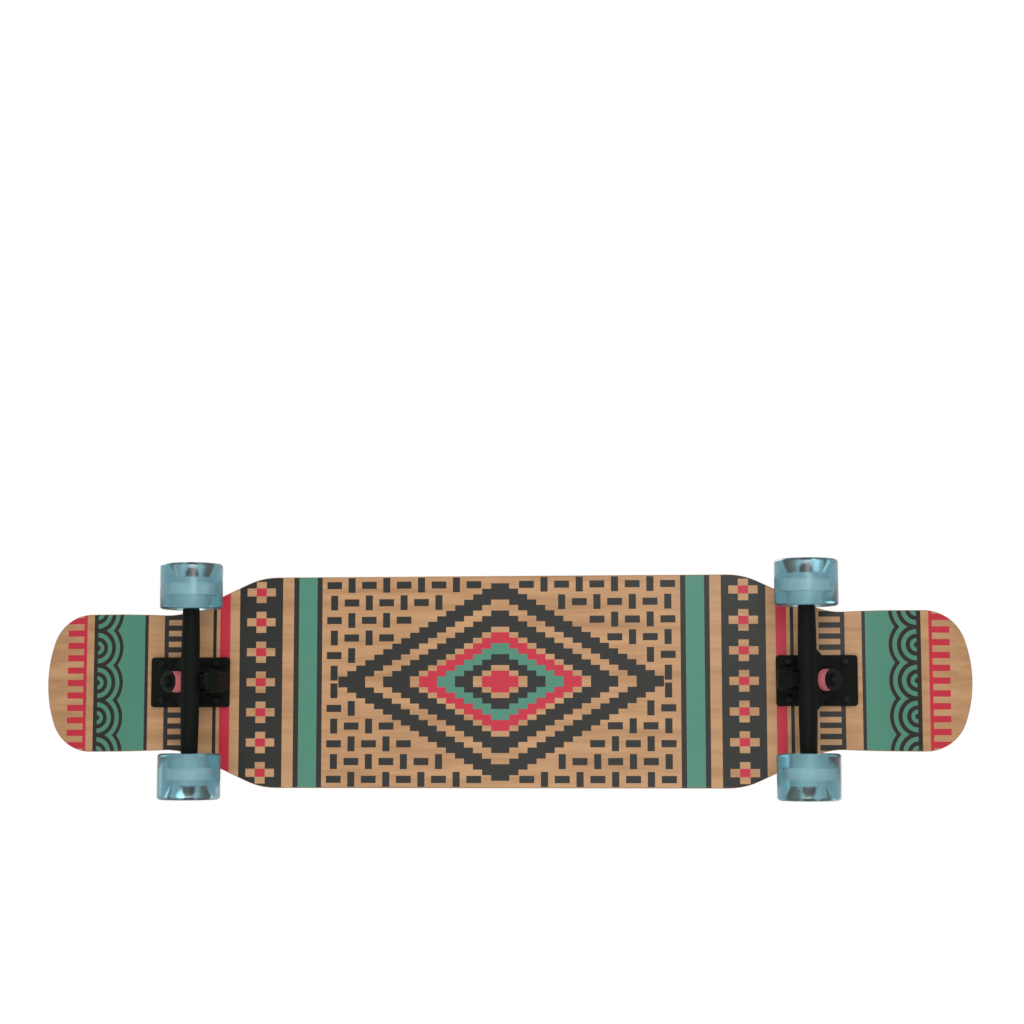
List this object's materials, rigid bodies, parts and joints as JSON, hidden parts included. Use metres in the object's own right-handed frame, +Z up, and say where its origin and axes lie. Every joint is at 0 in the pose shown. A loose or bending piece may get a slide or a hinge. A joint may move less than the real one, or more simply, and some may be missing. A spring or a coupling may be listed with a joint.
{
  "type": "longboard skateboard",
  "caption": "Longboard with a necked, double-kicked maple deck, grip tape, sprung steering trucks and soft clear wheels on ball bearings.",
  "frame": {"origin": "on the floor, under the centre of the deck, with the board standing on its wheels", "axes": "+X along the board towards its nose, +Y to the left across the board, +Z up"},
  "size_m": [1.067, 0.263, 0.1359],
  "materials": {
    "maple_ply": "clear-coated maple with a printed underside",
    "grip_grit": "black abrasive sheet",
    "black_casting": "satin black powder coat on cast aluminium",
    "bushing_urethane": "coral-pink urethane",
    "cup_urethane": "black urethane cup",
    "black_steel": "black oxide on steel",
    "plated_steel": "bright zinc plate",
    "tyre_urethane": "clear aqua urethane",
    "core_plastic": "pale moulded plastic",
    "bearing_steel": "ground bearing steel",
    "shield_steel": "black shield",
    "cage_nylon": "natural nylon"
  },
  "bodies": {
    "board": {"deck": "maple_ply", "grip_tape": "grip_grit", "front_baseplate": "black_casting", "front_pivot_cup": "cup_urethane", "front_kingpin": "black_steel", "front_kingpin_nut": "black_steel", "front_board_bushing": "bushing_urethane", "front_road_bushing": "bushing_urethane", "front_bushing_washers": "black_steel", "front_mount_bolts": "black_steel", "front_mount_nuts": "black_steel", "rear_baseplate": "black_casting", "rear_pivot_cup": "cup_urethane", "rear_kingpin": "black_steel", "rear_kingpin_nut": "black_steel", "rear_board_bushing": "bushing_urethane", "rear_road_bushing": "bushing_urethane", "rear_bushing_washers": "black_steel", "rear_mount_bolts": "black_steel", "rear_mount_nuts": "black_steel"},
    "front_hanger": {"front_hanger": "black_casting", "front_axle": "plated_steel", "front_axle_nuts": "black_steel", "front_speed_washers": "plated_steel", "front_bearing_spacers": "plated_steel", "front_bearing_inner_rings": "bearing_steel"},
    "front_left_wheel": {"front_left_wheel_tyre": "tyre_urethane", "front_left_wheel_core": "core_plastic", "front_left_wheel_bearing_outer_rings": "bearing_steel", "front_left_wheel_bearing_shields": "shield_steel"},
    "front_left_balls": {"front_left_wheel_bearing_balls": "bearing_steel", "front_left_wheel_bearing_cages": "cage_nylon"},
    "front_right_wheel": {"front_right_wheel_tyre": "tyre_urethane", "front_right_wheel_core": "core_plastic", "front_right_wheel_bearing_outer_rings": "bearing_steel", "front_right_wheel_bearing_shields": "shield_steel"},
    "front_right_balls": {"front_right_wheel_bearing_balls": "bearing_steel", "front_right_wheel_bearing_cages": "cage_nylon"},
    "rear_hanger": {"rear_hanger": "black_casting", "rear_axle": "plated_steel", "rear_axle_nuts": "black_steel", "rear_speed_washers": "plated_steel", "rear_bearing_spacers": "plated_steel", "rear_bearing_inner_rings": "bearing_steel"},
    "rear_left_wheel": {"rear_left_wheel_tyre": "tyre_urethane", "rear_left_wheel_core": "core_plastic", "rear_left_wheel_bearing_outer_rings": "bearing_steel", "rear_left_wheel_bearing_shields": "shield_steel"},
    "rear_left_balls": {"rear_left_wheel_bearing_balls": "bearing_steel", "rear_left_wheel_bearing_cages": "cage_nylon"},
    "rear_right_wheel": {"rear_right_wheel_tyre": "tyre_urethane", "rear_right_wheel_core": "core_plastic", "rear_right_wheel_bearing_outer_rings": "bearing_steel", "rear_right_wheel_bearing_shields": "shield_steel"},
    "rear_right_balls": {"rear_right_wheel_bearing_balls": "bearing_steel", "rear_right_wheel_bearing_cages": "cage_nylon"}
  },
  "joints": [
    {"name": "front_steer", "type": "hinge", "parent": "board", "child": "front_hanger", "pos_m": [0.361, 0, 0.068], "axis": [0.766, 0, 0.6428], "range_deg": [-15, 15], "stiffness_Nm_per_rad": 60, "deforming": ["front_board_bushing", "front_road_bushing"]},
    {"name": "front_left_wheel_spin", "type": "hinge", "parent": "front_hanger", "child": "front_left_wheel", "pos_m": [0.343, 0.103, 0.035], "axis": [0, 1, 0], "continuous": true},
    {"name": "front_left_balls_orbit", "type": "hinge", "parent": "front_hanger", "child": "front_left_balls", "pos_m": [0.343, 0.103, 0.035], "axis": [0, 1, 0], "continuous": true},
    {"name": "front_right_wheel_spin", "type": "hinge", "parent": "front_hanger", "child": "front_right_wheel", "pos_m": [0.343, -0.103, 0.035], "axis": [0, 1, 0], "continuous": true},
    {"name": "front_right_balls_orbit", "type": "hinge", "parent": "front_hanger", "child": "front_right_balls", "pos_m": [0.343, -0.103, 0.035], "axis": [0, 1, 0], "continuous": true},
    {"name": "rear_steer", "type": "hinge", "parent": "board", "child": "rear_hanger", "pos_m": [-0.361, 0, 0.068], "axis": [0.766, 0, -0.6428], "range_deg": [-15, 15], "stiffness_Nm_per_rad": 60, "deforming": ["rear_board_bushing", "rear_road_bushing"]},
    {"name": "rear_left_wheel_spin", "type": "hinge", "parent": "rear_hanger", "child": "rear_left_wheel", "pos_m": [-0.343, 0.103, 0.035], "axis": [0, 1, 0], "continuous": true},
    {"name": "rear_left_balls_orbit", "type": "hinge", "parent": "rear_hanger", "child": "rear_left_balls", "pos_m": [-0.343, 0.103, 0.035], "axis": [0, 1, 0], "continuous": true},
    {"name": "rear_right_wheel_spin", "type": "hinge", "parent": "rear_hanger", "child": "rear_right_wheel", "pos_m": [-0.343, -0.103, 0.035], "axis": [0, 1, 0], "continuous": true},
    {"name": "rear_right_balls_orbit", "type": "hinge", "parent": "rear_hanger", "child": "rear_right_balls", "pos_m": [-0.343, -0.103, 0.035], "axis": [0, 1, 0], "continuous": true}
  ],
  "couplings": [
    {"joint": "front_left_balls_orbit", "follows": "front_left_wheel_spin", "ratio": 0.6323},
    {"joint": "front_right_balls_orbit", "follows": "front_right_wheel_spin", "ratio": 0.6323},
    {"joint": "rear_left_balls_orbit", "follows": "rear_left_wheel_spin", "ratio": 0.6323},
    {"joint": "rear_right_balls_orbit", "follows": "rear_right_wheel_spin", "ratio": 0.6323}
  ]
}
